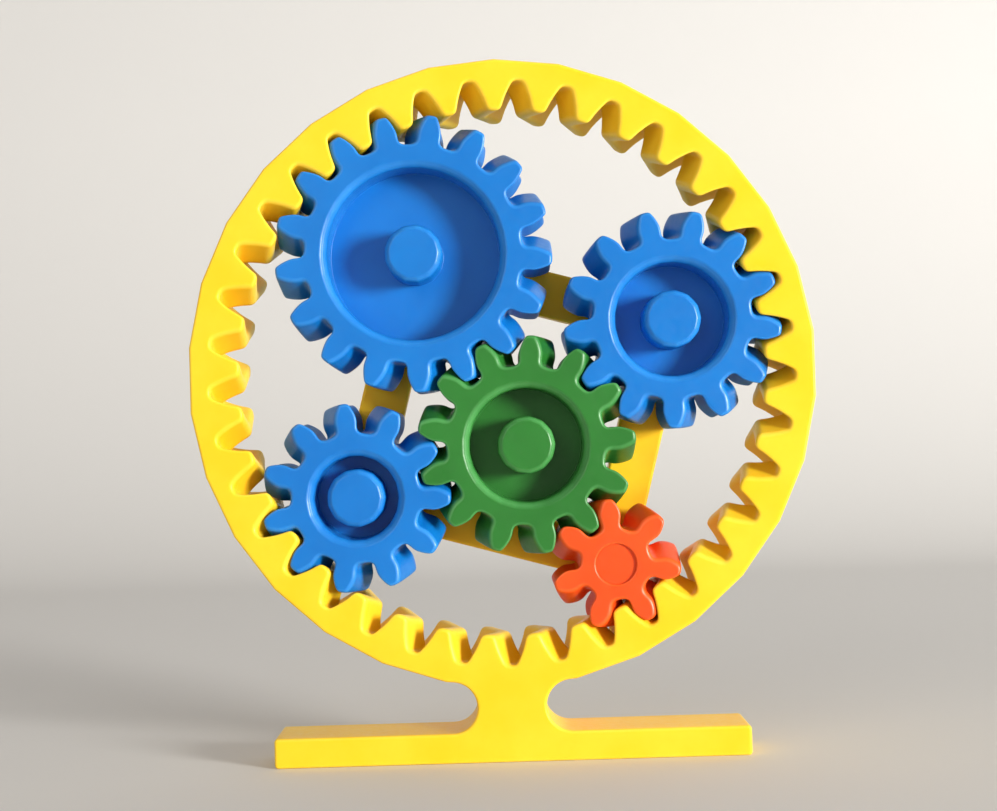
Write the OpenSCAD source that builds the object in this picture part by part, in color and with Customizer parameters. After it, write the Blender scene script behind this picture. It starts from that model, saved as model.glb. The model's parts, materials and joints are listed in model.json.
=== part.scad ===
// Planetary gear set on a foot, with an off-centre sun gear and four planets of different sizes.
// Four planets roll between a fixed ring gear and the sun. Their centres keep a constant sum of
// distances to the ring's and the sun's centre, so they sit on an ellipse, and a frame behind
// them carries them round. All teeth are herringbone, which holds the gears in line.
// +Z is up, +X to the right and -Y to the front. The origin is the middle of the foot's underside.

/* [Teeth] */
// Tooth module: pitch diameter divided by the number of teeth
gear_module = 2; // [1.95:0.01:2.05]
// Pressure angle of the involute flanks, in degrees
pressure_angle = 20; // [19:0.5:21]
// Helix angle of each half of the herringbone teeth, in degrees
helix_angle = 23.5; // [18:0.5:28]
// Play between meshing teeth, along the pitch circle
backlash = 0.22; // [0.18:0.01:0.3]
// Thickness of the gears and the ring, front to back
gear_width = 10; // [9:0.5:12]
// Direction from the ring's centre to the sun's centre, in degrees from +X
sun_direction = -73.5; // [-180:0.5:180]

/* [Hubs] */
// Width between the tooth tips and the wall of the round front pocket
pocket_rim = 7.1; // [6.7:0.1:7.2]
// Depth of the front pockets
pocket_depth = 6; // [4:0.5:7]
// Radius of the round hub that stands in each pocket
hub_r = 3.9; // [3.7:0.1:4.1]
// Radius of the bores that open at the back of the hubs
bore_r = 2.4; // [2:0.1:2.6]
// Radial play between the carrier's pins and the bores
pin_play = 0.08; // [0.04:0.01:0.1]
// Bevel on the mouths of the pockets
mouth_bevel = 1.1; // [0.6:0.1:1.2]
// Bevel on the front edges of the hubs
hub_bevel = 0.6; // [0.3:0.1:0.8]

/* [Ring and foot] */
// Radius to the corners of the ring's thirty-sided outline
ring_corner_r = 42.3; // [42:0.1:43.5]
// Height of the ring's centre above the surface that the foot stands on
centre_height = 52.3; // [51:0.1:53]
// Width of the foot
foot_width = 64; // [50:1:80]
// Height of the foot
foot_height = 4; // [3:0.1:5]
// Narrowest width of the neck between ring and foot
neck_width = 9.3; // [8:0.1:10]

/* [Carrier] */
// Width of the carrier's bars
bar_width = 6.4; // [5:0.1:7]
// Thickness of the carrier's bars
bar_thickness = 3; // [2:0.5:4]
// Gap between the backs of the gears and the carrier
carrier_gap = 0.4; // [0.3:0.1:1]

/* [Hidden] */
$fn = 96;
overlap = 0.01;

ring_teeth = 37;
sun_teeth = 13;
large_teeth = 17;
medium_teeth = 13;
small_teeth = 11;
pinion_teeth = 7;
ring_sides = 30;

// Which side of the line from ring centre to sun centre each planet sits on.
left_side = -1;
right_side = 1;

// Tooth heights in modules. The ring's teeth are cut short, as on any small internal gear.
addendum = 0.9;
dedendum = 1.1;
ring_addendum = 0.85;
ring_dedendum = 1.2;
// Radial height of the rounding at each tooth tip, and how much of the tip's width it leaves.
tip_round = 0.16;
tip_flat = 0.55;
// Size of the fillet at each tooth's root.
root_fillet = 0.3;

half_width = gear_width / 2;
twist_arc = half_width * tan(helix_angle);
ring_pitch_r = ring_teeth * gear_module / 2;
ring_twist = twist_arc / ring_pitch_r * 180 / PI;
ring_slices = 2;
planet_slices = 3;
pinion_slices = 4;

// --- Where the gears sit ---------------------------------------------------------------

function wrap(a) = a - 360 * round(a / 360);

// Distances of a planet's centre from the ring's and the sun's centre, in modules.
function ring_dist(z) = (ring_teeth - z) / 2;
function sun_dist(z) = (sun_teeth + z) / 2;

// Angles of a planet at the ring's and the sun's centre, from the line that joins the two
// centres, when those are e modules apart.
function angle_at_ring(z, e) =
    acos((e * e + pow(ring_dist(z), 2) - pow(sun_dist(z), 2)) / (2 * e * ring_dist(z)));
function angle_at_sun(z, e) =
    acos((pow(ring_dist(z), 2) - pow(sun_dist(z), 2) - e * e) / (2 * e * sun_dist(z)));

// All planets mesh at once only if the teeth round every loop add up to whole numbers.
function loop_angle(z, e) =
    (sun_teeth + z) * angle_at_sun(z, e) + (ring_teeth - z) * angle_at_ring(z, e);
function misfit(e) = wrap(loop_angle(large_teeth, e) + loop_angle(medium_teeth, e));
function solve_offset(low, high, steps) =
    let (mid = (low + high) / 2)
    steps == 0 ? mid
    : misfit(low) * misfit(mid) <= 0 ? solve_offset(low, mid, steps - 1)
    : solve_offset(mid, high, steps - 1);

// Distance between the ring's and the sun's centre, in modules.
offset_low = 5.12;
offset_high = 5.25;
sun_offset = solve_offset(offset_low, offset_high, 30);

function ring_angle(z, side) = sun_direction + side * angle_at_ring(z, sun_offset);
function sun_angle(z, side) = sun_direction + side * angle_at_sun(z, sun_offset);
function planet_pos(z, side) =
    ring_dist(z) * gear_module * [cos(ring_angle(z, side)), sin(ring_angle(z, side))];
sun_pos = sun_offset * gear_module * [cos(sun_direction), sin(sun_direction)];

// Turn of each gear, as the angle of one tooth's centre line at the front face. One of the
// ring's teeth points down from the top.
ring_phase = 90;
function planet_phase(z, side) =
    ring_angle(z, side) - (180 + ring_teeth * (ring_angle(z, side) - ring_phase)) / z;
sun_phase =
    ((sun_teeth + large_teeth) * sun_angle(large_teeth, left_side)
    + (ring_teeth - large_teeth) * ring_angle(large_teeth, left_side)
    + large_teeth * 180 - ring_teeth * ring_phase) / sun_teeth;

// The carrier's corners, in order round the ring.
carrier_corners = [
    planet_pos(large_teeth, left_side),
    planet_pos(small_teeth, left_side),
    planet_pos(pinion_teeth, right_side),
    planet_pos(medium_teeth, right_side)
];

// --- Tooth outlines --------------------------------------------------------------------

function involute(a) = tan(a) * 180 / PI - a;
function polar(r, a) = r * [cos(a), sin(a)];

// Half the angle that a tooth fills at radius r, for z teeth and a half angle at the pitch
// circle. Below the base circle the flank is radial.
function half_angle(z, pitch_half, r) =
    let (base_r = z * gear_module / 2 * cos(pressure_angle))
    pitch_half + involute(pressure_angle) - (r > base_r ? involute(acos(base_r / r)) : 0);

// Outline of a toothed disc, turned to the given phase. widen is the play that the tooth gains
// or loses on each side.
module toothed_disc(z, phase, tip_r, root_r, widen) {
    pitch_r = z * gear_module / 2;
    pitch_half = 90 / z + widen / pitch_r * 180 / PI;
    shoulder_r = tip_r - tip_round * gear_module;
    fillet = root_fillet * gear_module;
    fillet_r = root_r + fillet;
    middle_r = (fillet_r + shoulder_r) / 2;
    root_half = half_angle(z, pitch_half, root_r) + fillet / root_r * 180 / PI;
    tip_half = half_angle(z, pitch_half, tip_r) * tip_flat;
    flank = concat(
        [[root_r, root_half]],
        [for (r = [fillet_r, middle_r, shoulder_r]) [r, half_angle(z, pitch_half, r)]],
        [[tip_r, tip_half]]
    );
    last = len(flank) - 1;
    polygon([
        for (tooth = [0 : z - 1], i = [0 : 2 * last + 1])
            let (
                centre = phase + tooth * 360 / z,
                rising = i <= last,
                p = rising ? flank[i] : flank[2 * last + 1 - i]
            )
            polar(p[0], centre + (rising ? -1 : 1) * p[1])
    ]);
}

// A toothed disc drawn out into herringbone teeth, from its middle plane to both faces.
module herringbone(z, phase, tip_r, root_r, widen, hand, slices, width) {
    twist = hand * ring_twist * ring_teeth / z * width / gear_width;
    for (face = [0, 1])
        mirror([0, 0, face])
            linear_extrude(height = width / 2, twist = twist, slices = slices)
                toothed_disc(z, phase + twist, tip_r, root_r, widen);
}

// --- Gears -----------------------------------------------------------------------------

// Places a shape drawn with its face towards +Z so that the face looks to the front.
module at_ring_height(pos = [0, 0]) {
    translate([pos[0], 0, centre_height + pos[1]]) rotate([90, 0, 0]) children();
}

// The round recess in a gear's front, with the hub left standing in it.
module front_pocket(z) {
    mouth_r = (z / 2 + addendum) * gear_module - pocket_rim;
    difference() {
        union() {
            translate([0, 0, half_width - pocket_depth])
                cylinder(h = pocket_depth + 1, r = mouth_r);
            translate([0, 0, half_width - mouth_bevel])
                cylinder(h = mouth_bevel + overlap, r1 = mouth_r, r2 = mouth_r + mouth_bevel + overlap);
        }
        translate([0, 0, half_width - pocket_depth - 1])
            cylinder(h = pocket_depth + 1 - hub_bevel, r = hub_r);
        translate([0, 0, half_width - hub_bevel])
            cylinder(h = hub_bevel, r1 = hub_r, r2 = hub_r - hub_bevel);
    }
}

cap_thickness = 1.8;
module back_bore() {
    translate([0, 0, -half_width - 1])
        cylinder(h = gear_width + 1 - cap_thickness, r = bore_r);
}

module spur(z, phase, hand, slices) {
    herringbone(z, phase, (z / 2 + addendum) * gear_module, (z / 2 - dedendum) * gear_module,
                -backlash / 4, hand, slices, gear_width);
}

module pocketed_gear(z, phase, hand) {
    difference() {
        spur(z, phase, hand, planet_slices);
        front_pocket(z);
        back_bore();
    }
}

module planet(z, side) {
    at_ring_height(planet_pos(z, side)) pocketed_gear(z, planet_phase(z, side), 1);
}

module large_planet_gear() {
    color([0.13, 0.42, 0.82]) planet(large_teeth, left_side);
}

module medium_planet_gear() {
    color([0.13, 0.42, 0.82]) planet(medium_teeth, right_side);
}

module small_planet_gear() {
    color([0.13, 0.42, 0.82]) planet(small_teeth, left_side);
}

module sun_gear() {
    color([0.16, 0.5, 0.24]) at_ring_height(sun_pos) pocketed_gear(sun_teeth, sun_phase, -1);
}

// The smallest planet has no room for a pocket, only a shallow round dimple.
dimple_r = 3;
dimple_depth = 0.5;
module pinion_gear() {
    color([0.93, 0.26, 0.12])
        at_ring_height(planet_pos(pinion_teeth, right_side))
            difference() {
                spur(pinion_teeth, planet_phase(pinion_teeth, right_side), 1, pinion_slices);
                translate([0, 0, half_width - dimple_depth]) cylinder(h = 1, r = dimple_r);
                back_bore();
            }
}

// --- Carrier ---------------------------------------------------------------------------

pin_end_play = 0.6;
module planet_carrier() {
    pin_length = gear_width - cap_thickness - pin_end_play + carrier_gap;
    bar_front = -half_width - carrier_gap;
    color([0.93, 0.76, 0.12])
        at_ring_height() {
            translate([0, 0, bar_front - bar_thickness])
                linear_extrude(height = bar_thickness) carrier_outline();
            for (corner = carrier_corners)
                translate([corner[0], corner[1], bar_front - overlap])
                    cylinder(h = pin_length + overlap, r = bore_r - pin_play);
        }
}

module carrier_outline() {
    for (i = [0 : len(carrier_corners) - 1]) {
        from = carrier_corners[i];
        to = carrier_corners[(i + 1) % len(carrier_corners)];
        translate(from) circle(r = bar_width / 2);
        translate(from)
            rotate(atan2(to[1] - from[1], to[0] - from[0]))
                translate([0, -bar_width / 2]) square([norm(to - from), bar_width]);
    }
}

// --- Ring, neck and foot ---------------------------------------------------------------

module ring_outline() {
    polygon([for (i = [0 : ring_sides - 1]) polar(ring_corner_r, 90 + i * 360 / ring_sides)]);
}

// The neck flares out into the ring above and the foot below with one round on each side. The
// rounds touch the foot's top and the sloping edges on both sides of the ring's lowest corner.
module neck_outline() {
    foot_top = foot_height - centre_height;
    gap = -ring_corner_r - foot_top;
    edge_slope = tan(180 / ring_sides);
    round_r = (gap + edge_slope * neck_width / 2) / (2 - edge_slope);
    flare = neck_width / 2 + round_r;
    difference() {
        translate([-flare, foot_top - overlap]) square([2 * flare, gap + neck_width / 2]);
        for (side = [-1, 1])
            translate([side * flare, foot_top + round_r]) circle(r = round_r);
    }
}

module foot_outline() {
    translate([-foot_width / 2, -centre_height]) square([foot_width, foot_height]);
}

module ring_gear_stand() {
    ring_tip_r = ring_pitch_r - ring_addendum * gear_module;
    ring_root_r = ring_pitch_r + ring_dedendum * gear_module;
    color([0.98, 0.88, 0.16])
        at_ring_height() {
            difference() {
                translate([0, 0, -half_width])
                    linear_extrude(height = gear_width) {
                        difference() {
                            union() {
                                ring_outline();
                                neck_outline();
                            }
                            circle(r = ring_tip_r - 1);
                        }
                        foot_outline();
                    }
                herringbone(ring_teeth, ring_phase + 180 / ring_teeth, ring_root_r, ring_tip_r,
                            backlash / 4, 1, ring_slices, gear_width + 2 * overlap);
            }
        }
}

ring_gear_stand();
sun_gear();
large_planet_gear();
medium_planet_gear();
small_planet_gear();
pinion_gear();
planet_carrier();
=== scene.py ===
"""Eccentric planetary gear set of printed plastic: ring gear on a foot, sun, four planets, carrier.

The shapes are drawn in millimetres in the plane of the gears' faces: x to the right and y up,
both from the ring's centre, with the depth measured from the gears' middle plane to the back.
Meshes are turned into metres in the frame's own axes when they are made.
"""
import json
import math

import bmesh
import bpy
import numpy as np
from mathutils import Matrix, Vector
from mathutils.geometry import tessellate_polygon


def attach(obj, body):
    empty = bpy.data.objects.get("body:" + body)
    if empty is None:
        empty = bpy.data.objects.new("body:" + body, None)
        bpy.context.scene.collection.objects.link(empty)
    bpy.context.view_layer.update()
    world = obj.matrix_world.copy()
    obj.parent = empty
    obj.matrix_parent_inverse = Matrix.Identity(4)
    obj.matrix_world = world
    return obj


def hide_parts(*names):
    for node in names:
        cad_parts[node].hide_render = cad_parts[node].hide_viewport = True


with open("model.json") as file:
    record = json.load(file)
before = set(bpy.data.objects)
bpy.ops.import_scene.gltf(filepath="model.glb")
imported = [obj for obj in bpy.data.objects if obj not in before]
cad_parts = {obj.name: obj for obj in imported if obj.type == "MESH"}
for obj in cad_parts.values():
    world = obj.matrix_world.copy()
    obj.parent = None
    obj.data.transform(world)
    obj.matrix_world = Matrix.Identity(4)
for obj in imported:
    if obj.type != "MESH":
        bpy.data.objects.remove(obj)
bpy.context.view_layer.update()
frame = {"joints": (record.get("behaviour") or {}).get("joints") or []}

MM = 0.001

# --- Sizes, in millimetres ---------------------------------------------------------------

MODULE = 2.0
PRESSURE_ANGLE = math.radians(20)
HELIX_ANGLE = math.radians(23.5)
BACKLASH = 0.22
RING_TEETH = 37
SUN_TEETH = 13
LARGE_TEETH = 17
MEDIUM_TEETH = 13
SMALL_TEETH = 11
PINION_TEETH = 7
ADDENDUM = 0.9
DEDENDUM = 1.1
RING_ADDENDUM = 0.85
RING_DEDENDUM = 1.2

HALF_WIDTH = 5.0
POCKET_RIM = 7.1
POCKET_DEPTH = 6.0
HUB_R = 3.9
BORE_R = 2.4
BORE_DEPTH = 8.2
DIMPLE_R = 3.0
DIMPLE_DEPTH = 0.45
DIMPLE_SIDES = 20

RING_SIDES = 30
RING_CORNER_R = 42.3
FOOT_HEIGHT = 4.0
HALF_FOOT = 32.0
FOOT_CORNER = 0.5
NECK_WIDTH = 9.3

BAR_WIDTH = 6.4
BAR_THICKNESS = 3.0
WINDOW_FILLET = 1.4
CARRIER_GAP = 0.4
PIN_R = 2.32
PIN_BEVEL = 0.5
PIN_END_PLAY = 0.2

# Roundings of the printed edges. EDGE_BEVEL is the share of the mouths' and hubs' that is flat.
TOOTH_EDGE = 0.5
BACK_EDGE = 0.35
STAND_EDGE = 0.4
MOUTH_EDGE = 1.0
HUB_EDGE = 0.7
EDGE_BEVEL = 0.6
BORE_EDGE = 0.25
DIMPLE_EDGE = 0.25
FILLET = 0.12
ROOT_FILLET = 0.65
RING_TIP_ROUND = 0.4
TOOTH_SOFTNESS = 0.3
RING_SOFTNESS = 0.36
APEX_SOFTNESS = 0.3

# How round shapes look: flats of this length, at most so many, and how flat they are.
FLAT_LENGTH = 2.0
MOST_FLATS = 30
FLATNESS = 0.5
POINTS_ON_A_FLAT = (0.04, 0.16, 0.36, 0.64, 0.84, 0.96)

# How fine the meshes are.
POINTS_PER_TOOTH = 44
POINTS_PER_FLANK = 33
WALL_STEPS = 9
EDGE_STEPS = 6
POCKET_STEPS = 4
BORE_STEPS = 5
NECK_STEPS = 20
FOOT_CORNER_STEPS = 5
BAR_END_STEPS = 14
WINDOW_CORNER_STEPS = 8
BORE_SIDES = 72
PIN_SIDES = 48

# Gaps between an edge's last loop and the next, which keep the shading of flat areas flat.
FACE_STRIP = 0.04
DIMPLE_STRIP = 0.02
POCKET_TOP_STRIP = 0.1
POCKET_FLOOR_STRIP = 1.0
BORE_STRIP = 0.35

# Share of painted highlight, a paler colour, down the pockets' walls, which makes them look lit.
POCKET_WALL_HIGHLIGHT = 0.5

# --- Places, from the frame --------------------------------------------------------------

JOINT_PLACES = {j["name"]: Vector(j["pos_m"]) / MM for j in frame["joints"]}
RING_HEIGHT = JOINT_PLACES["carrier_spin"].z


def gear_centre(joint):
    """Centre of the gear that turns on this joint, from the ring's centre."""
    place = JOINT_PLACES[joint]
    return np.array([place.x, place.z - RING_HEIGHT])


SUN_CENTRE = gear_centre("sun_spin")
PLANET_CENTRES = {
    "large_planet": gear_centre("large_planet_spin"),
    "medium_planet": gear_centre("medium_planet_spin"),
    "small_planet": gear_centre("small_planet_spin"),
    "pinion": gear_centre("pinion_spin"),
}
RING_PHASE = math.radians(90)
RING_TWIST = HALF_WIDTH * math.tan(HELIX_ANGLE) / (RING_TEETH * MODULE / 2)


def direction(vector):
    return math.atan2(vector[1], vector[0])


def planet_phase(teeth, centre):
    """Angle of one tooth of a planet that meshes with the ring."""
    towards = direction(centre)
    return towards - (math.pi + RING_TEETH * (towards - RING_PHASE)) / teeth


def sun_phase():
    """Angle of one tooth of the sun, which meshes with the large planet."""
    centre = PLANET_CENTRES["large_planet"]
    from_sun = direction(centre - SUN_CENTRE)
    from_ring = direction(centre)
    total = (SUN_TEETH + LARGE_TEETH) * from_sun + (RING_TEETH - LARGE_TEETH) * from_ring
    return (total + LARGE_TEETH * math.pi - RING_TEETH * RING_PHASE) / SUN_TEETH


# --- Outlines ----------------------------------------------------------------------------

def involute(angle):
    return math.tan(angle) - angle


def half_angle(teeth, pitch_half, radius):
    """Half the angle that a tooth fills at a radius. Below the base circle flanks are radial."""
    base_r = teeth * MODULE / 2 * math.cos(PRESSURE_ANGLE)
    rolled = involute(math.acos(base_r / radius)) if radius > base_r else 0
    return pitch_half + involute(PRESSURE_ANGLE) - rolled


def fillet_angle(radius, root_r, fillet):
    """How much further a tooth spreads on each side because of the fillet at its root."""
    rise = min(1, max(0, (root_r + fillet - radius) / fillet))
    return fillet * (1 - math.sqrt(1 - rise ** 2)) / radius


def evenly(points, count):
    """A closed polyline's points again, count of them, at even distances."""
    closed = np.vstack([points, points[:1]])
    steps = np.linalg.norm(np.diff(closed, axis=0), axis=1)
    along = np.concatenate([[0], np.cumsum(steps)])
    wanted = np.linspace(0, along[-1], count, endpoint=False)
    return np.column_stack([np.interp(wanted, along, closed[:, k]) for k in (0, 1)])


def softened(points, softness):
    """A closed, even outline with its corners rounded by a Gaussian of that width."""
    spacing = np.linalg.norm(points[1] - points[0])
    reach = int(math.ceil(3 * softness / spacing))
    offsets = np.arange(-reach, reach + 1)
    weights = np.exp(-0.5 * (offsets * spacing / softness) ** 2)
    weights /= weights.sum()
    return sum(w * np.roll(points, k, axis=0) for w, k in zip(weights, offsets))


def toothed_outline(teeth, tip_r, root_r, widen, fillet, softness):
    """Outline of a toothed disc with one tooth centred on the angle 0, counter-clockwise."""
    pitch_r = teeth * MODULE / 2
    pitch_half = math.pi / 2 / teeth + widen / pitch_r
    rising = []
    for r in np.linspace(root_r, tip_r, POINTS_PER_FLANK):
        rising.append((r, -half_angle(teeth, pitch_half, r) - fillet_angle(r, root_r, fillet)))
    falling = [(r, -a) for r, a in reversed(rising)]
    flanks = rising + falling
    outline = []
    for tooth in range(teeth):
        centre = 2 * math.pi * tooth / teeth
        outline += [(r * math.cos(centre + a), r * math.sin(centre + a)) for r, a in flanks]
    even = evenly(np.array(outline), teeth * POINTS_PER_TOOTH)
    return softened(even, softness)


def turned(points, angle):
    c, s = math.cos(angle), math.sin(angle)
    return points @ np.array([[c, s], [-s, c]])


def inset(points, distance):
    """A closed, counter-clockwise outline moved inwards. Tight corners move less."""
    before = points - np.roll(points, 1, axis=0)
    after = np.roll(points, -1, axis=0) - points
    n1 = np.column_stack([-before[:, 1], before[:, 0]])
    n2 = np.column_stack([-after[:, 1], after[:, 0]])
    n1 /= np.linalg.norm(n1, axis=1)[:, None]
    n2 /= np.linalg.norm(n2, axis=1)[:, None]
    mitre = (n1 + n2) / (1 + np.sum(n1 * n2, axis=1))[:, None]
    return points + mitre * np.reshape(distance, (-1, 1))


def rounding_room(outline, side):
    """How far each point of an even outline can move inwards (side 1) or outwards (side -1)."""
    before = outline - np.roll(outline, 1, axis=0)
    after = np.roll(outline, -1, axis=0) - outline
    length = np.linalg.norm(after, axis=1)
    bend = side * (before[:, 0] * after[:, 1] - before[:, 1] * after[:, 0]) / length ** 2
    share = 0.8
    least_bend = 0.05
    neighbours = range(-3, 4)
    room = share * length / np.maximum(bend, least_bend)
    nearest = np.min([np.roll(room, k) for k in neighbours], axis=0)
    return np.mean([np.roll(nearest, k) for k in neighbours], axis=0)


def circle(radius, count, centre=(0, 0)):
    angles = np.linspace(0, 2 * math.pi, count, endpoint=False)
    return np.column_stack([np.cos(angles), np.sin(angles)]) * radius + np.array(centre)


def flats_round(radius):
    """Flats of a round shape in a printed part: one for every 2 mm, and at most 30."""
    return min(MOST_FLATS, math.ceil(2 * math.pi * radius / FLAT_LENGTH))


def facetted_circle(radius, sides):
    """A circle with the faint flats of a polygon."""
    corners = circle(radius, sides)
    following = np.roll(corners, -1, axis=0)
    rows = [[a + (b - a) * t for t in POINTS_ON_A_FLAT] for a, b in zip(corners, following)]
    flat = np.array(rows).reshape(-1, 2)
    round_again = flat * (radius / np.linalg.norm(flat, axis=1))[:, None]
    return FLATNESS * flat + (1 - FLATNESS) * round_again


def arc(centre, radius, start, end, steps):
    angles = np.radians(np.linspace(start, end, steps + 1))
    return [(centre[0] + radius * math.cos(a), centre[1] + radius * math.sin(a)) for a in angles]


def edge_profile(radius, bevel=0.0):
    """(inset, depth, highlight) from the flat face to the wall: a quarter round, or part of a
    bevel. highlight is the share of painted highlight, a paler colour, most at the middle of the
    rounding.
    """
    profile = [(radius + FACE_STRIP, 0.0, 0.0)]
    for share in np.linspace(0, 1, EDGE_STEPS + 1):
        t = share * math.pi / 2
        moved = bevel * (1 - share) + (1 - bevel) * (1 - math.sin(t))
        down = bevel * share + (1 - bevel) * (1 - math.cos(t))
        # The third value is the share of painted highlight, a paler colour, most at the middle of
        # the rounding.
        profile.append((radius * moved, radius * down, math.sin(2 * t)))
    return profile


def face_down(radius, start=-HALF_WIDTH, bevel=0.0):
    """An edge profile whose depths go back from a face at that depth."""
    return [(moved, start + down, wear) for moved, down, wear in edge_profile(radius, bevel)]


def up_to_face(radius, end):
    """An edge profile in reverse, which ends at a face at that depth."""
    return [(moved, end - down, wear) for moved, down, wear in reversed(edge_profile(radius))]


# --- Meshes ------------------------------------------------------------------------------

class Shell:
    """A closed surface made of loops of points, each loop at one depth."""

    def __init__(self, centre=(0, 0)):
        self.centre = np.array(centre, float)
        self.points = []
        self.wear = []
        self.faces = []
        self.flat = []
        self.sharp = []

    def loop(self, outline, depth, wear=0.0):
        """Adds a loop with that share of painted highlight and returns the numbers of its points.
        """
        first = len(self.points)
        self.points += [(x, depth, y) for x, y in np.asarray(outline) + self.centre]
        self.wear += [wear] * len(outline)
        return list(range(first, len(self.points)))

    def bridge(self, a, b, sharp_at=()):
        """Joins two loops of as many points with smooth faces, sharp along some of them."""
        n = len(a)
        for i in range(n):
            k = (i + 1) % n
            self.faces.append((a[i], a[k], b[k], b[i]))
            self.flat.append(False)
        self.sharp += [(a[i], b[i]) for i in sharp_at]

    def skin(self, loops, sharp_at=()):
        for a, b in zip(loops, loops[1:]):
            self.bridge(a, b, sharp_at)

    def cap(self, *loops):
        """Fills the flat area inside the first loop and outside the others."""
        numbers = [i for one in loops for i in one]
        flattened = {i: Vector((self.points[i][0], self.points[i][2], 0)) for i in numbers}
        outlines = [[flattened[i] for i in one] for one in loops]
        for triangle in tessellate_polygon(outlines):
            self.faces.append(tuple(numbers[i] for i in triangle))
            self.flat.append(True)

    def piece(self, name, body, node, slot, material):
        """Makes the Blender object, in metres, that rides on the body and replaces the node."""
        mesh = bpy.data.meshes.new(name)
        lifted = [(x * MM, depth * MM, (y + RING_HEIGHT) * MM) for x, depth, y in self.points]
        mesh.from_pydata(lifted, [], self.faces)
        mesh.polygons.foreach_set("use_smooth", [not flat for flat in self.flat])
        keys = {tuple(edge.vertices): edge.index for edge in mesh.edges}
        marks = np.zeros(len(mesh.edges), bool)
        for a, b in self.sharp:
            marks[keys.get((a, b), keys.get((b, a)))] = True
        mesh.attributes.new("sharp_edge", "BOOLEAN", "EDGE").data.foreach_set("value", marks)
        # Per point share of painted highlight, a paler colour that the materials mix in.
        mesh.attributes.new("painted_highlight", "FLOAT", "POINT").data.foreach_set("value", self.wear)
        mesh.materials.append(material)
        face_outwards(mesh)
        piece = bpy.data.objects.new(name, mesh)
        bpy.context.scene.collection.objects.link(piece)
        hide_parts(node)
        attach(piece, body)
        return piece


def face_outwards(mesh):
    """Turns all faces of closed surfaces to the outside."""
    work = bmesh.new()
    work.from_mesh(mesh)
    bmesh.ops.recalc_face_normals(work, faces=work.faces)
    work.to_mesh(mesh)
    work.free()


# --- Gears -------------------------------------------------------------------------------

def twist_at(depth):
    """Share of the full herringbone twist at a depth, with a soft turn at the middle."""
    soft = math.hypot(depth, APEX_SOFTNESS)
    edge = math.hypot(HALF_WIDTH, APEX_SOFTNESS)
    return 1 - (soft - APEX_SOFTNESS) / (edge - APEX_SOFTNESS)


def wall_stations(front_edge, back_edge):
    """(inset, depth, highlight) down a wall from the front face to the back face; highlight is the
    share of painted highlight.
    """
    half = HALF_WIDTH - max(front_edge, back_edge)
    middle = [(0.0, d, 0.0) for d in np.linspace(-half, half, 2 * WALL_STEPS + 1)[1:-1]]
    return face_down(front_edge) + middle + up_to_face(back_edge, HALF_WIDTH)


def toothed_wall(shell, outline, phase, twist, sign=1):
    """The toothed wall's loops. sign is -1 where the material is outside the outline."""
    ease = np.minimum(1, rounding_room(outline, sign) / TOOTH_EDGE)
    loops = []
    for moved, depth, wear in wall_stations(TOOTH_EDGE, BACK_EDGE):
        shape = turned(inset(outline, sign * moved * ease), phase + twist * twist_at(depth))
        loops.append(shell.loop(shape, depth, wear))
    shell.skin(loops)
    return loops[0], loops[-1]


def facetted_skin(shell, profile, sides):
    """A round wall with faint flats through (radius, depth, highlight) stations; highlight is the
    share of painted highlight.
    """
    loops = [shell.loop(facetted_circle(r, sides), depth, wear) for r, depth, wear in profile]
    shell.skin(loops)
    return loops


def pocket(shell, teeth):
    """The round pocket with its hub. Returns the loop where it meets the face."""
    mouth_r = (teeth / 2 + ADDENDUM) * MODULE - POCKET_RIM
    floor = -HALF_WIDTH + POCKET_DEPTH
    mouth = face_down(MOUTH_EDGE, bevel=EDGE_BEVEL)
    below_mouth = mouth[-1][1] + POCKET_TOP_STRIP
    wall_depths = np.linspace(below_mouth, floor - POCKET_FLOOR_STRIP, POCKET_STEPS + 1)
    fillet = up_to_face(FILLET, floor)

    wall = [(mouth_r + moved, depth, wear) for moved, depth, wear in mouth]
    # The pocket wall gets painted highlight, a paler colour, so that it looks lit.
    wall += [(mouth_r, depth, POCKET_WALL_HIGHLIGHT) for depth in wall_depths]
    wall += [(mouth_r - moved, depth, 0.0) for moved, depth, _ in fillet]
    walls = facetted_skin(shell, wall, flats_round(mouth_r))

    hub_top = face_down(HUB_EDGE, bevel=EDGE_BEVEL)
    hub = [(HUB_R - moved, depth, wear) for moved, depth, wear in hub_top]
    hub += [(HUB_R + moved, depth, 0.0) for moved, depth, _ in fillet]
    hubs = facetted_skin(shell, hub, flats_round(HUB_R))
    shell.cap(hubs[0])
    shell.cap(walls[-1], hubs[-1])
    return walls[0]


def back_bore(shell):
    """The blind bore that the carrier's pin turns in. Returns the loop at the back face."""
    profile = edge_profile(BORE_EDGE)
    bore = [(BORE_R + moved, HALF_WIDTH - down, wear) for moved, down, wear in profile]
    below_rim = HALF_WIDTH - (BORE_EDGE + BORE_STRIP)
    depths = np.linspace(below_rim, HALF_WIDTH - BORE_DEPTH, BORE_STEPS + 1)
    bore += [(BORE_R, depth, 0.0) for depth in depths]
    loops = [shell.loop(circle(r, BORE_SIDES), depth, wear) for r, depth, wear in bore]
    shell.skin(loops)
    shell.cap(loops[-1])
    return loops[0]


def dimple(shell):
    """The pinion's shallow round dimple. Returns the loop where it meets the face."""
    floor_r = DIMPLE_R - DIMPLE_EDGE
    wall = [(floor_r + moved, depth, wear) for moved, depth, wear in face_down(DIMPLE_EDGE)]
    wall.append((floor_r - DIMPLE_STRIP, DIMPLE_DEPTH - HALF_WIDTH, 0.0))
    loops = facetted_skin(shell, wall, DIMPLE_SIDES)
    shell.cap(loops[-1])
    return loops[0]


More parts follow.
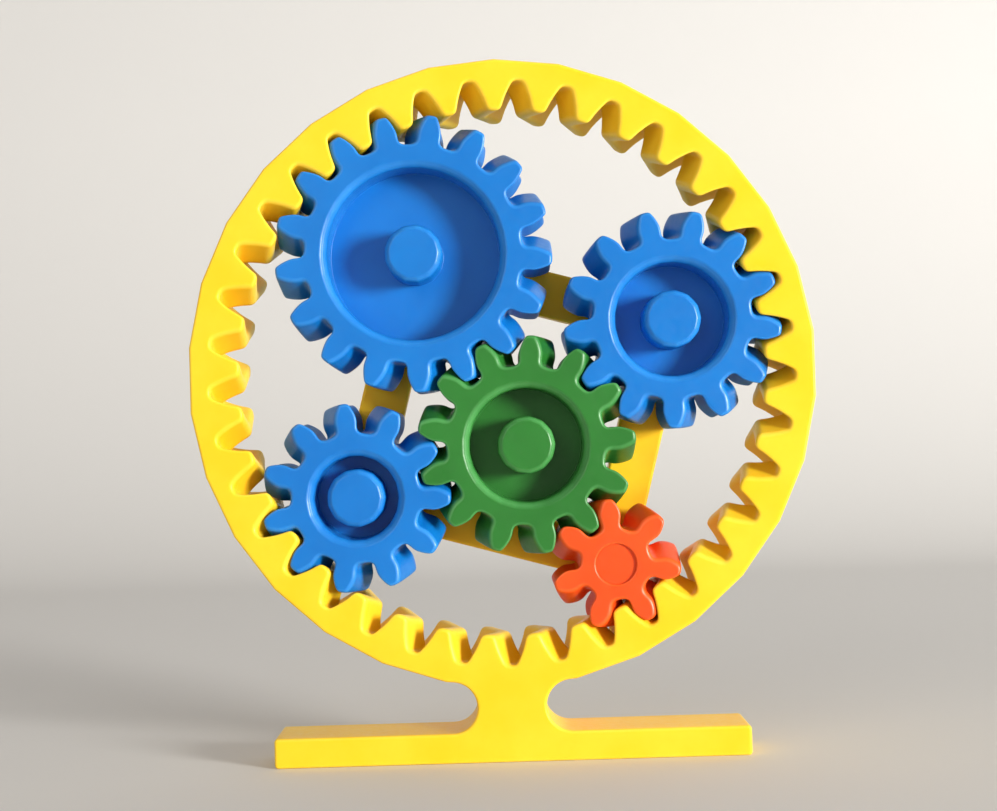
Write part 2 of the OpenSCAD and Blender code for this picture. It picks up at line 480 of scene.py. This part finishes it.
def gear(node, body, slot, teeth, centre, phase, hand, material):
    """One gear. hand is 1 where its teeth lean as the ring's do, and -1 for the sun."""
    shell = Shell(centre)
    tip_r = (teeth / 2 + ADDENDUM) * MODULE
    root_r = (teeth / 2 - DEDENDUM) * MODULE
    outline = toothed_outline(teeth, tip_r, root_r, -BACKLASH / 4, ROOT_FILLET, TOOTH_SOFTNESS)
    twist = hand * RING_TWIST * RING_TEETH / teeth
    front, back = toothed_wall(shell, outline, phase, twist)
    recess = dimple(shell) if teeth == PINION_TEETH else pocket(shell, teeth)
    shell.cap(front, recess)
    shell.cap(back, back_bore(shell))
    return shell.piece(node + "_body", body, node, slot, material)


# --- Ring gear with its foot -------------------------------------------------------------

def stand_outline():
    """The outside of the ring, neck and foot, counter-clockwise, and its sharp corners."""
    foot_bottom = -RING_HEIGHT
    foot_top = foot_bottom + FOOT_HEIGHT
    gap = -RING_CORNER_R - foot_top
    slope = math.tan(math.pi / RING_SIDES)
    round_r = (gap + slope * NECK_WIDTH / 2) / (2 - slope)
    flare = NECK_WIDTH / 2 + round_r
    tilt = math.degrees(math.atan(slope))
    neck_y = foot_top + round_r

    right = arc((flare, neck_y), round_r, -90, -270 + tilt, NECK_STEPS)
    left = [(-x, y) for x, y in reversed(right)]
    end_x = HALF_FOOT - FOOT_CORNER
    high = foot_top - FOOT_CORNER
    low = foot_bottom + FOOT_CORNER
    foot = arc((-end_x, high), FOOT_CORNER, 90, 180, FOOT_CORNER_STEPS)
    foot += arc((-end_x, low), FOOT_CORNER, 180, 270, FOOT_CORNER_STEPS)
    foot += arc((end_x, low), FOOT_CORNER, 270, 360, FOOT_CORNER_STEPS)
    foot += arc((end_x, high), FOOT_CORNER, 0, 90, FOOT_CORNER_STEPS)
    facets = sorted(360 * i / RING_SIDES - 90 for i in range(1, RING_SIDES))
    ring = [RING_CORNER_R * np.array([math.cos(a), math.sin(a)]) for a in np.radians(facets)]
    points = foot + right + ring + left
    first = len(foot) + len(right)
    return np.array(points), range(first, first + len(ring))


def ring_gear_stand(slot, material):
    """The ring gear with its neck and foot, in one piece."""
    shell = Shell()
    tip_r = (RING_TEETH / 2 + RING_DEDENDUM) * MODULE
    root_r = (RING_TEETH / 2 - RING_ADDENDUM) * MODULE
    hole = toothed_outline(RING_TEETH, tip_r, root_r, BACKLASH / 4, RING_TIP_ROUND, RING_SOFTNESS)
    phase = RING_PHASE + math.pi / RING_TEETH
    front, back = toothed_wall(shell, hole, phase, RING_TWIST, -1)
    outline, corners = stand_outline()
    stations = wall_stations(STAND_EDGE, STAND_EDGE)
    loops = [shell.loop(inset(outline, moved), depth, wear) for moved, depth, wear in stations]
    shell.skin(loops, corners)
    shell.cap(loops[0], front)
    shell.cap(loops[-1], back)
    return shell.piece("ring_gear_stand_body", "frame", "ring_gear_stand", slot, material)


# --- Carrier -----------------------------------------------------------------------------

def carrier_outlines():
    """The outside of the carrier's four bars and the open middle, both counter-clockwise."""
    order = ["small_planet", "pinion", "medium_planet", "large_planet"]
    corners = [PLANET_CENTRES[name] for name in order]
    half = BAR_WIDTH / 2
    outside = []
    inside = []
    for i, corner in enumerate(corners):
        into = corner - corners[i - 1]
        out = corners[(i + 1) % 4] - corner
        start = math.degrees(direction(into)) - 90
        end = math.degrees(direction(out)) - 90
        end += 360 * math.ceil((start - end) / 360)
        outside += arc(corner, half, start, end, BAR_END_STEPS)
        turn = math.radians(end - start)
        bisector = math.radians((start + end) / 2 + 180)
        reach = (half + WINDOW_FILLET) / math.cos(turn / 2)
        middle = corner + reach * np.array([math.cos(bisector), math.sin(bisector)])
        inside += arc(middle, WINDOW_FILLET, start, end, WINDOW_CORNER_STEPS)
    return np.array(outside), np.array(inside)


def planet_carrier(slot, material):
    """The frame of four bars behind the gears, with a pin for each planet."""
    shell = Shell()
    outside, inside = carrier_outlines()
    front = HALF_WIDTH + CARRIER_GAP
    back = front + BAR_THICKNESS
    stations = face_down(STAND_EDGE, front) + up_to_face(STAND_EDGE, back)
    outer = [shell.loop(inset(outside, moved), depth, wear) for moved, depth, wear in stations]
    inner = [shell.loop(inset(inside, -moved), depth, wear) for moved, depth, wear in stations]
    shell.skin(outer)
    shell.skin(inner)
    pins = []
    tip = HALF_WIDTH - BORE_DEPTH + PIN_END_PLAY
    pin = [(PIN_R - PIN_BEVEL, tip), (PIN_R, tip + PIN_BEVEL), (PIN_R, front)]
    for centre in PLANET_CENTRES.values():
        loops = [shell.loop(circle(r, PIN_SIDES, centre), depth) for r, depth in pin]
        shell.skin(loops)
        shell.cap(loops[0])
        pins.append(loops[-1])
    shell.cap(outer[0], inner[0], *pins)
    shell.cap(outer[-1], inner[-1])
    return shell.piece("planet_carrier_body", "carrier", "planet_carrier", slot, material)


# --- Materials ---------------------------------------------------------------------------

ROUGHNESS = 0.35
SPECKLE = 0.22
# How strongly the painted highlight, a paler colour on edges and pocket walls, is mixed in.
HIGHLIGHT_STRENGTH = 0.9
CLOUD_SCALE = 130
MOTTLE_SCALE = 1300
SCATTER_DEPTH = 1.4 * MM

# The relief of the print, in metres, and the shares of its parts beside the layer lines.
LAYER_HEIGHT = 0.25 * MM
PATH_WIDTH = 0.45 * MM
BUMP_HEIGHT = 0.022 * MM
BUMP_STRENGTH = 0.45
PATH_SHARE = 0.10
GRAIN_SHARE = 0.5

# The period, in metres, of a wave texture whose scale is 1.
BAND_PERIOD = 0.05 * 2 * math.pi


class Nodes:
    """A short way to write a node tree."""

    def __init__(self, material):
        self.tree = material.node_tree
        self.tree.nodes.clear()

    def add(self, kind, **values):
        node = self.tree.nodes.new("ShaderNode" + kind)
        for name, value in values.items():
            setattr(node, name, value)
        return node

    def link(self, source, target):
        self.tree.links.new(source, target)

    def feed(self, socket, value):
        """Gives a socket a constant or another node's output."""
        if isinstance(value, bpy.types.NodeSocket):
            self.link(value, socket)
        else:
            socket.default_value = value


def mixed(nodes, share, first, second):
    """A mix of two colours, each a constant or an output."""
    node = nodes.add("Mix", data_type="RGBA", blend_type="MIX")
    nodes.feed(node.inputs[0], share)
    nodes.feed(node.inputs[6], first)
    nodes.feed(node.inputs[7], second)
    return node.outputs[2]


def computed(nodes, operation, first, second=0.5):
    node = nodes.add("Math", operation=operation)
    nodes.feed(node.inputs[0], first)
    nodes.feed(node.inputs[1], second)
    return node.outputs[0]


def noise(nodes, place, scale, detail):
    node = nodes.add("TexNoise")
    node.inputs["Scale"].default_value = scale
    node.inputs["Detail"].default_value = detail
    nodes.link(place, node.inputs["Vector"])
    return node.outputs[0]


def bands(nodes, place, direction, period):
    """The texture of sine bands with that period, in metres."""
    node = nodes.add("TexWave", wave_type="BANDS", bands_direction=direction, wave_profile="SIN")
    node.inputs["Scale"].default_value = BAND_PERIOD / period
    nodes.link(place, node.inputs["Vector"])
    return node


def ranged(nodes, source, low, high, to_low=0.0, to_high=1.0):
    """The source with the values from low to high spread from to_low to to_high."""
    node = nodes.add("MapRange")
    node.inputs["From Min"].default_value = low
    node.inputs["From Max"].default_value = high
    node.inputs["To Min"].default_value = to_low
    node.inputs["To Max"].default_value = to_high
    nodes.link(source, node.inputs[0])
    return node.outputs[0]


def clouded_colour(nodes, clouds, mottle, colour, deep, highlight_colour):
    """Clouds between two tones, fine speckle, and a painted highlight: a paler colour on the
    rounded edges and pocket walls.
    """
    clouded = mixed(nodes, ranged(nodes, clouds, 0.35, 0.65), deep, colour)
    speckle = ranged(nodes, mottle, 0.3, 0.7, to_high=SPECKLE)
    speckled = mixed(nodes, speckle, clouded, deep)
    # Painted highlight: the paler colour is mixed in on rounded edges and pocket walls, in patches
    # after the clouds.
    wear = nodes.add("Attribute", attribute_name="painted_highlight").outputs["Fac"]
    wear = computed(nodes, "MULTIPLY", wear, computed(nodes, "MULTIPLY", clouds, HIGHLIGHT_STRENGTH))
    return mixed(nodes, wear, speckled, highlight_colour)


def printed_relief(nodes, place, mottle):
    """The bump of layer lines on the walls, nozzle paths on the faces, and fine grain."""
    layers = bands(nodes, place, "Y", LAYER_HEIGHT)
    layers.inputs["Distortion"].default_value = 0.6
    layers.inputs["Detail Scale"].default_value = 0.4
    paths = bands(nodes, place, "DIAGONAL", PATH_WIDTH)

    facing = nodes.add("SeparateXYZ")
    nodes.link(nodes.add("TexCoord").outputs["Normal"], facing.inputs[0])
    on_face = computed(nodes, "POWER", computed(nodes, "ABSOLUTE", facing.outputs[1]), 12.0)

    height = computed(nodes, "MULTIPLY", paths.outputs[0], on_face)
    height = computed(nodes, "MULTIPLY", height, PATH_SHARE)
    height = computed(nodes, "ADD", height, layers.outputs[0])
    height = computed(nodes, "ADD", height, computed(nodes, "MULTIPLY", mottle, GRAIN_SHARE))
    bump = nodes.add("Bump")
    bump.inputs["Strength"].default_value = BUMP_STRENGTH
    bump.inputs["Distance"].default_value = BUMP_HEIGHT
    nodes.link(height, bump.inputs["Height"])
    return bump.outputs[0]


def plastic(name, colour, deep, highlight_colour, shine=0.5, scatter=0.3):
    """Printed satin plastic: colour clouds, fine mottling, layer lines on the walls."""
    material = bpy.data.materials.new(name)
    material.use_nodes = True
    nodes = Nodes(material)
    place = nodes.add("TexCoord").outputs["Object"]
    clouds = noise(nodes, place, CLOUD_SCALE, 3)
    mottle = noise(nodes, place, MOTTLE_SCALE, 4)

    shader = nodes.add("BsdfPrincipled")
    shader.inputs["IOR"].default_value = 1.46
    shader.inputs["Specular IOR Level"].default_value = shine
    shader.inputs["Subsurface Weight"].default_value = scatter
    shader.inputs["Subsurface Radius"].default_value = (1.0, 0.8, 0.6)
    shader.inputs["Subsurface Scale"].default_value = SCATTER_DEPTH
    body = clouded_colour(nodes, clouds, mottle, colour, deep, highlight_colour)
    rough = ranged(nodes, mottle, 0.3, 0.7, ROUGHNESS - 0.05, ROUGHNESS + 0.07)
    nodes.link(body, shader.inputs["Base Color"])
    nodes.link(rough, shader.inputs["Roughness"])
    nodes.link(printed_relief(nodes, place, mottle), shader.inputs["Normal"])
    nodes.link(shader.outputs[0], nodes.add("OutputMaterial").inputs[0])
    return material


def linear(red, green, blue):
    """A colour given as it looks on a screen, 0 to 255, in the renderer's own units."""
    parts = []
    for value in (red, green, blue):
        dark = value / 255 / 12.92
        bright = ((value / 255 + 0.055) / 1.055) ** 2.4
        parts.append(bright if value > 10 else dark)
    return (*parts, 1.0)


# --- Stage, light and camera -------------------------------------------------------------

# The stage, in metres: a sheet on the floor that bends up behind the object.
SHEET_NEAR = -0.55
SHEET_FAR = 0.45
SHEET_TOP = 0.75
SHEET_BEND_R = 0.18
SHEET_HALF_WIDTH = 0.9

# The lamps, in metres and watts.
LAMPS_AIM = (0.0, 0.0, 0.05)
WARM_WHITE = (1.0, 0.95, 0.9)

# The camera, in millimetres and in the frame's own axes.
EYE = (-1.04, -219.89, 43.31)
AIM = (-0.66, -5.0, 47.77)
ROLL = math.radians(-1.69)


def stage():
    """A pale sheet that lies under the foot and curves up behind the object."""
    bend_middle = (SHEET_FAR - SHEET_BEND_R, SHEET_BEND_R)
    profile = [(SHEET_NEAR, 0.0)] + arc(bend_middle, SHEET_BEND_R, -90, 0, 16)
    profile.append((SHEET_FAR, SHEET_TOP))
    points = [(side * SHEET_HALF_WIDTH, y, z) for y, z in profile for side in (-1, 1)]
    faces = [(2 * i, 2 * i + 1, 2 * i + 3, 2 * i + 2) for i in range(len(profile) - 1)]
    mesh = bpy.data.meshes.new("floor")
    mesh.from_pydata(points, [], faces)
    mesh.polygons.foreach_set("use_smooth", [True] * len(faces))
    material = bpy.data.materials.new("pale_floor")
    material.use_nodes = True
    shader = material.node_tree.nodes["Principled BSDF"]
    shader.inputs["Base Color"].default_value = linear(220, 219, 217)
    shader.inputs["Roughness"].default_value = 0.85
    mesh.materials.append(material)
    floor = bpy.data.objects.new("floor", mesh)
    bpy.context.scene.collection.objects.link(floor)


def lamp(name, place, size, watts, colour):
    """A round lamp that points at the object."""
    data = bpy.data.lights.new(name, "AREA")
    data.shape = "DISK"
    data.size = size
    data.energy = watts
    data.color = colour
    lamp_object = bpy.data.objects.new(name, data)
    lamp_object.location = place
    lamp_object.rotation_mode = "QUATERNION"
    lamp_object.rotation_quaternion = (Vector(LAMPS_AIM) - Vector(place)).to_track_quat("-Z", "Y")
    bpy.context.scene.collection.objects.link(lamp_object)


def light():
    """A level key light from the right, a weak fill light from the left, and a soft room."""
    lamp("key_light", place=(0.855, -0.692, 0.16), size=0.3, watts=18.5, colour=(1.0, 0.98, 0.94))
    lamp("fill_light", place=(-0.35, -0.55, 0.3), size=0.5, watts=0.9, colour=WARM_WHITE)
    world = bpy.data.worlds.new("soft_room")
    world.use_nodes = True
    background = world.node_tree.nodes["Background"]
    background.inputs["Color"].default_value = (*WARM_WHITE, 1.0)
    background.inputs["Strength"].default_value = 0.35
    bpy.context.scene.world = world


def camera():
    """Close in front, a little under the ring's centre, and rolled slightly."""
    place = Vector(EYE) * MM
    aim = Vector(AIM) * MM
    data = bpy.data.cameras.new("camera")
    data.sensor_width = 36.0
    data.lens = 57.8
    data.clip_start = 0.01
    eye = bpy.data.objects.new("camera", data)
    look = (aim - place).to_track_quat("-Z", "Y").to_matrix().to_4x4()
    eye.matrix_world = Matrix.Translation(place) @ look @ Matrix.Rotation(ROLL, 4, "Z")
    bpy.context.scene.collection.objects.link(eye)
    bpy.context.scene.camera = eye


# --- Everything --------------------------------------------------------------------------

camera()
light()
stage()

# Each plastic's third colour is the paler colour of its painted highlight on edges and pocket
# walls.
yellow = plastic("yellow_plastic", linear(250, 205, 48), linear(248, 198, 34), linear(252, 214, 78),
                 shine=0.22, scatter=0.45)
blue = plastic("blue_plastic", linear(9, 117, 198), linear(6, 110, 190), linear(60, 150, 228))
green = plastic("green_plastic", linear(42, 119, 44), linear(36, 110, 38), linear(95, 170, 100))
red = plastic("red_plastic", linear(232, 82, 20), linear(228, 74, 14), linear(245, 115, 50))

ring_gear_stand("yellow_plastic", yellow)
planet_carrier("yellow_plastic", yellow)
gear("sun_gear", "sun", "green_plastic", SUN_TEETH, SUN_CENTRE, sun_phase(), -1, green)
PLANETS = [
    ("large_planet", "large_planet_gear", "blue_plastic", LARGE_TEETH, blue),
    ("medium_planet", "medium_planet_gear", "blue_plastic", MEDIUM_TEETH, blue),
    ("small_planet", "small_planet_gear", "blue_plastic", SMALL_TEETH, blue),
    ("pinion", "pinion_gear", "red_plastic", PINION_TEETH, red),
]
for body, node, slot, teeth, material in PLANETS:
    centre = PLANET_CENTRES[body]
    gear(node, body, slot, teeth, centre, planet_phase(teeth, centre), 1, material)

bpy.context.scene.view_settings.view_transform = "Standard"
